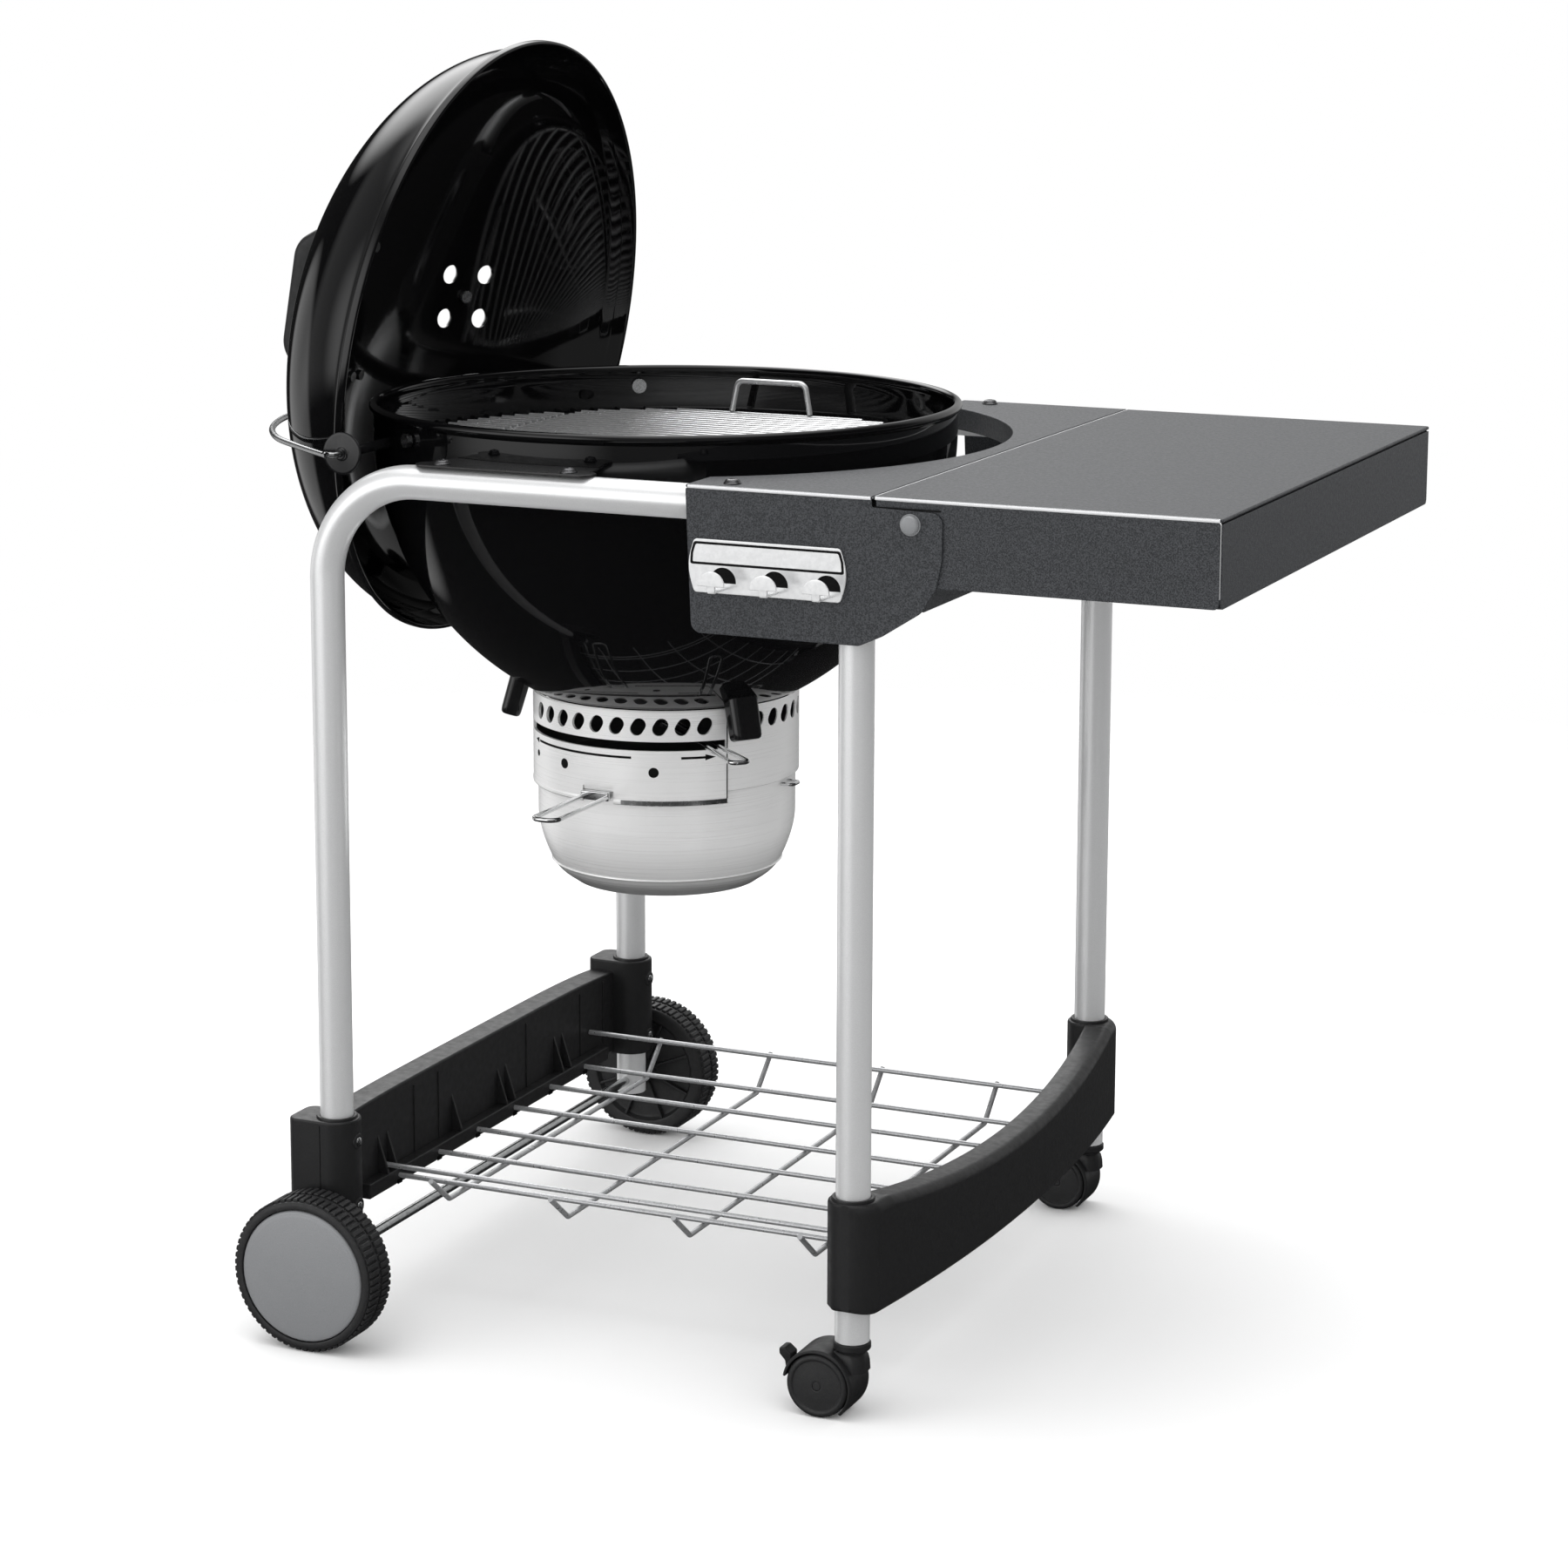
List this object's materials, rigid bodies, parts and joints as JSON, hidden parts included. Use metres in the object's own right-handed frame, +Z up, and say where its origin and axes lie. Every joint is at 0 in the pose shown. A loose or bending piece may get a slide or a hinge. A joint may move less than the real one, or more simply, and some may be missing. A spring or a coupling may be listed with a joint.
{
  "type": "kettle charcoal grill",
  "caption": "Kettle charcoal grill on a tube cart, its lid parked in a wire holder, with a hinged cooking grate, ash pot, wire shelf, fold-down side table, wheels and casters.",
  "frame": {"origin": "on the floor, under the middle of the whole grill's box", "axes": "+Z up, +X towards the side table, -Y towards the cook"},
  "size_m": [1.101, 0.7864, 1.2199],
  "materials": {
    "enamel": "gloss porcelain enamel",
    "tube": "satin silver",
    "table_coat": "fine hammered powder coat",
    "stainless": "brushed",
    "plated_wire": "bright plated wire",
    "chrome": "polished",
    "steel": "plain zinc plated",
    "black_plastic": "fine grain",
    "black_coat": "satin black",
    "wheel_black": "satin, ribbed tread",
    "hub_grey": "satin"
  },
  "bodies": {
    "cart": {"bowl": "enamel", "front_left_tube": "tube", "rear_left_tube": "tube", "front_right_leg": "tube", "rear_right_leg": "tube", "axle": "tube", "table_support": "table_coat", "table_brace": "table_coat", "ash_ring": "stainless", "ring_front_plate": "stainless", "wire_shelf": "plated_wire", "shelf_cross_wires": "plated_wire", "shelf_front_wire": "plated_wire", "lid_holder_wire": "plated_wire", "tool_plate": "chrome", "tool_hooks": "chrome", "charcoal_grate": "steel", "grate_tabs": "steel", "bowl_bolts": "steel", "bracket_bolts": "steel", "panel_bolts": "steel", "leaf_pivot_bolts": "steel", "brace_bolts": "steel", "end_panel_screws": "steel", "left_end_panel": "black_plastic", "right_end_panel": "black_plastic", "front_caster_socket": "black_plastic", "rear_caster_socket": "black_plastic", "bowl_bracket_front": "black_coat", "bowl_bracket_rear": "black_coat", "leg_sockets": "black_coat", "holder_sleeve_front": "black_coat", "holder_sleeve_rear": "black_coat"},
    "lid": {"lid": "enamel", "lid_handle": "black_plastic", "lid_handle_screws": "steel", "damper_rivet": "stainless"},
    "lid_damper": {"lid_damper": "stainless"},
    "leaf": {"folding_leaf": "table_coat"},
    "front_wheel": {"front_wheel": "wheel_black", "front_hubcap": "hub_grey"},
    "rear_wheel": {"rear_wheel": "wheel_black", "rear_hubcap": "hub_grey"},
    "front_caster": {"front_caster_hood": "black_plastic"},
    "rear_caster": {"rear_caster_hood": "black_plastic"},
    "front_caster_wheels": {"front_caster_wheels": "wheel_black"},
    "rear_caster_wheels": {"rear_caster_wheels": "wheel_black"},
    "front_caster_brake": {"front_caster_brake": "black_plastic"},
    "rear_caster_brake": {"rear_caster_brake": "black_plastic"},
    "cooking_grate": {"cooking_grate": "plated_wire", "grate_handles": "plated_wire"},
    "grate_flap_left": {"grate_flap_left": "plated_wire"},
    "grate_flap_right": {"grate_flap_right": "plated_wire"},
    "ash_sweeper": {"ash_sweeper": "steel", "sweeper_lever": "plated_wire"},
    "ash_pot": {"ash_pot": "stainless", "ash_pot_handle": "plated_wire", "ash_pot_catches": "plated_wire"}
  },
  "joints": [
    {"name": "lid_tilt", "type": "hinge", "parent": "cart", "child": "lid", "pos_m": [-0.314, 0, 0.847], "axis": [0, 1, 0], "range_deg": [0, 40]},
    {"name": "damper_turn", "type": "hinge", "parent": "lid", "child": "lid_damper", "pos_m": [-0.44039, 0.171, 0.94823], "axis": [-0.9096, 0.3847, 0.1571], "range_deg": [0, 45]},
    {"name": "leaf_fold", "type": "hinge", "parent": "cart", "child": "leaf", "pos_m": [0.2712, 0, 0.8239], "axis": [0, 1, 0], "range_deg": [0, 85]},
    {"name": "front_wheel_spin", "type": "hinge", "parent": "cart", "child": "front_wheel", "pos_m": [-0.3205, -0.366, 0.075], "axis": [0, 1, 0], "continuous": true},
    {"name": "rear_wheel_spin", "type": "hinge", "parent": "cart", "child": "rear_wheel", "pos_m": [-0.3205, 0.366, 0.075], "axis": [0, 1, 0], "continuous": true},
    {"name": "front_caster_swivel", "type": "hinge", "parent": "cart", "child": "front_caster", "pos_m": [0.2135, -0.318, 0.075], "axis": [0, 0, 1], "continuous": true},
    {"name": "front_caster_roll", "type": "hinge", "parent": "front_caster", "child": "front_caster_wheels", "pos_m": [0.1875, -0.318, 0.03], "axis": [0, 1, 0], "continuous": true},
    {"name": "front_caster_brake", "type": "hinge", "parent": "front_caster", "child": "front_caster_brake", "pos_m": [0.1545, -0.318, 0.036], "axis": [0, -1, 0], "range_deg": [0, 15]},
    {"name": "rear_caster_swivel", "type": "hinge", "parent": "cart", "child": "rear_caster", "pos_m": [0.2135, 0.318, 0.075], "axis": [0, 0, 1], "continuous": true},
    {"name": "rear_caster_roll", "type": "hinge", "parent": "rear_caster", "child": "rear_caster_wheels", "pos_m": [0.1875, 0.318, 0.03], "axis": [0, 1, 0], "continuous": true},
    {"name": "rear_caster_brake", "type": "hinge", "parent": "rear_caster", "child": "rear_caster_brake", "pos_m": [0.1545, 0.318, 0.036], "axis": [0, -1, 0], "range_deg": [0, 15]},
    {"name": "grate_lift", "type": "slide", "parent": "cart", "child": "cooking_grate", "axis": [0, 0, 1], "range_m": [0, 0.1]},
    {"name": "flap_left_lift", "type": "hinge", "parent": "cooking_grate", "child": "grate_flap_left", "pos_m": [-0.3145, 0, 0.836], "axis": [0, 1, 0], "range_deg": [0, 90]},
    {"name": "flap_right_lift", "type": "hinge", "parent": "cooking_grate", "child": "grate_flap_right", "pos_m": [0.0675, 0, 0.836], "axis": [0, -1, 0], "range_deg": [0, 90]},
    {"name": "ash_sweep", "type": "hinge", "parent": "cart", "child": "ash_sweeper", "pos_m": [-0.1235, 0, 0.556], "axis": [0, 0, 1], "range_deg": [-92, 0]},
    {"name": "pot_drop", "type": "slide", "parent": "cart", "child": "ash_pot", "axis": [0, 0, -1], "range_m": [0, 0.1]}
  ]
}
